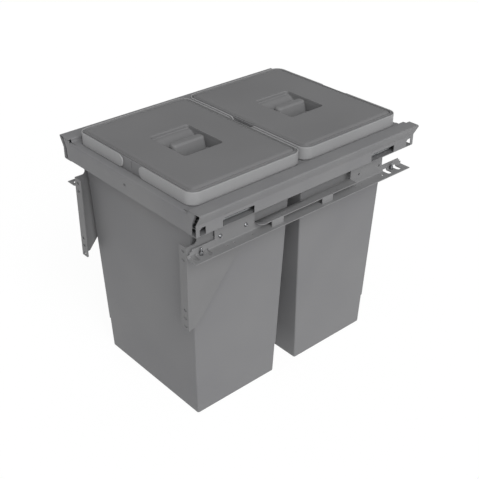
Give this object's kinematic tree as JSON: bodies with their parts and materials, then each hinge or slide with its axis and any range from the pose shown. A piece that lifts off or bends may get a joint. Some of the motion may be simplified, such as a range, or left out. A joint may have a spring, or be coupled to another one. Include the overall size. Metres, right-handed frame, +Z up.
{
  "type": "pull out bin frame",
  "caption": "Sheet-steel pull-out frame on full-extension cabinet runners, holding lidded waste bins with swing handles side by side in depth, with gusseted brackets for a cabinet door.",
  "frame": {"origin": "centre of the four rail fixing holes, on the underside of the rail flanges", "axes": "+X to the right as seen from the door, +Y to the rear of the cabinet, +Z up"},
  "size_m": [0.3896, 0.504, 0.461],
  "materials": {
    "frame_paint": "satin",
    "rail_paint": "satin",
    "bin_plastic": "fine grain",
    "lid_plastic": "fine grain",
    "handle_plastic": "fine grain",
    "runner_zinc": "zinc plated",
    "bright_steel": "bright",
    "stop_rubber": "matte"
  },
  "bodies": {
    "rails": {"left_rail": "rail_paint", "left_rail_pins": "bright_steel", "left_rail_screws": "bright_steel", "left_fixed_profile": "runner_zinc", "left_runner_stop": "stop_rubber", "right_rail": "rail_paint", "right_rail_pins": "bright_steel", "right_rail_screws": "bright_steel", "right_fixed_profile": "runner_zinc", "right_runner_stop": "stop_rubber"},
    "frame": {"left_side_member": "frame_paint", "left_drawer_profile": "runner_zinc", "left_door_bracket": "rail_paint", "left_bracket_rivets": "bright_steel", "right_side_member": "frame_paint", "right_drawer_profile": "runner_zinc", "right_door_bracket": "rail_paint", "right_bracket_rivets": "bright_steel", "front_cross_member": "frame_paint", "centre_cross_member": "frame_paint", "rear_cross_member": "frame_paint"},
    "front_bin": {"front_bin": "bin_plastic"},
    "rear_bin": {"rear_bin": "bin_plastic"},
    "front_lid": {"front_lid": "lid_plastic"},
    "rear_lid": {"rear_lid": "lid_plastic"},
    "left_outer_cage": {"left_outer_cage": "runner_zinc", "left_outer_balls": "bright_steel"},
    "left_middle_profile": {"left_middle_profile": "runner_zinc"},
    "left_inner_cage": {"left_inner_cage": "runner_zinc", "left_inner_balls": "bright_steel"},
    "right_outer_cage": {"right_outer_cage": "runner_zinc", "right_outer_balls": "bright_steel"},
    "right_middle_profile": {"right_middle_profile": "runner_zinc"},
    "right_inner_cage": {"right_inner_cage": "runner_zinc", "right_inner_balls": "bright_steel"},
    "front_bin_left_handle": {"front_bin_left_handle": "handle_plastic"},
    "front_bin_right_handle": {"front_bin_right_handle": "handle_plastic"},
    "rear_bin_left_handle": {"rear_bin_left_handle": "handle_plastic"},
    "rear_bin_right_handle": {"rear_bin_right_handle": "handle_plastic"}
  },
  "joints": [
    {"name": "frame_pull", "type": "slide", "parent": "rails", "child": "frame", "axis": [0, -1, 0], "range_m": [0, 0.46]},
    {"name": "left_outer_cage_slide", "type": "slide", "parent": "rails", "child": "left_outer_cage", "axis": [0, -1, 0], "range_m": [0, 0.115]},
    {"name": "left_middle_profile_slide", "type": "slide", "parent": "rails", "child": "left_middle_profile", "axis": [0, -1, 0], "range_m": [0, 0.23]},
    {"name": "left_inner_cage_slide", "type": "slide", "parent": "rails", "child": "left_inner_cage", "axis": [0, -1, 0], "range_m": [0, 0.345]},
    {"name": "right_outer_cage_slide", "type": "slide", "parent": "rails", "child": "right_outer_cage", "axis": [0, -1, 0], "range_m": [0, 0.115]},
    {"name": "right_middle_profile_slide", "type": "slide", "parent": "rails", "child": "right_middle_profile", "axis": [0, -1, 0], "range_m": [0, 0.23]},
    {"name": "right_inner_cage_slide", "type": "slide", "parent": "rails", "child": "right_inner_cage", "axis": [0, -1, 0], "range_m": [0, 0.345]},
    {"name": "front_bin_lift", "type": "slide", "parent": "frame", "child": "front_bin", "axis": [0, 0, 1], "range_m": [0, 0.45]},
    {"name": "front_lid_lift", "type": "slide", "parent": "front_bin", "child": "front_lid", "axis": [0, 0, 1], "range_m": [0, 0.085]},
    {"name": "front_bin_left_handle_swing", "type": "hinge", "parent": "front_bin", "child": "front_bin_left_handle", "pos_m": [-0.03315, -0.13175, 0.09415], "axis": [0, 1, 0], "range_deg": [0, 85]},
    {"name": "front_bin_right_handle_swing", "type": "hinge", "parent": "front_bin", "child": "front_bin_right_handle", "pos_m": [0.03315, -0.13175, 0.09415], "axis": [0, -1, 0], "range_deg": [0, 85]},
    {"name": "rear_bin_lift", "type": "slide", "parent": "frame", "child": "rear_bin", "axis": [0, 0, 1], "range_m": [0, 0.45]},
    {"name": "rear_lid_lift", "type": "slide", "parent": "rear_bin", "child": "rear_lid", "axis": [0, 0, 1], "range_m": [0, 0.085]},
    {"name": "rear_bin_left_handle_swing", "type": "hinge", "parent": "rear_bin", "child": "rear_bin_left_handle", "pos_m": [-0.03315, 0.10775, 0.09415], "axis": [0, 1, 0], "range_deg": [0, 85]},
    {"name": "rear_bin_right_handle_swing", "type": "hinge", "parent": "rear_bin", "child": "rear_bin_right_handle", "pos_m": [0.03315, 0.10775, 0.09415], "axis": [0, -1, 0], "range_deg": [0, 85]}
  ],
  "couplings": [
    {"joint": "left_outer_cage_slide", "follows": "frame_pull", "ratio": 0.25},
    {"joint": "left_middle_profile_slide", "follows": "frame_pull", "ratio": 0.5},
    {"joint": "left_inner_cage_slide", "follows": "frame_pull", "ratio": 0.75},
    {"joint": "right_outer_cage_slide", "follows": "frame_pull", "ratio": 0.25},
    {"joint": "right_middle_profile_slide", "follows": "frame_pull", "ratio": 0.5},
    {"joint": "right_inner_cage_slide", "follows": "frame_pull", "ratio": 0.75}
  ]
}
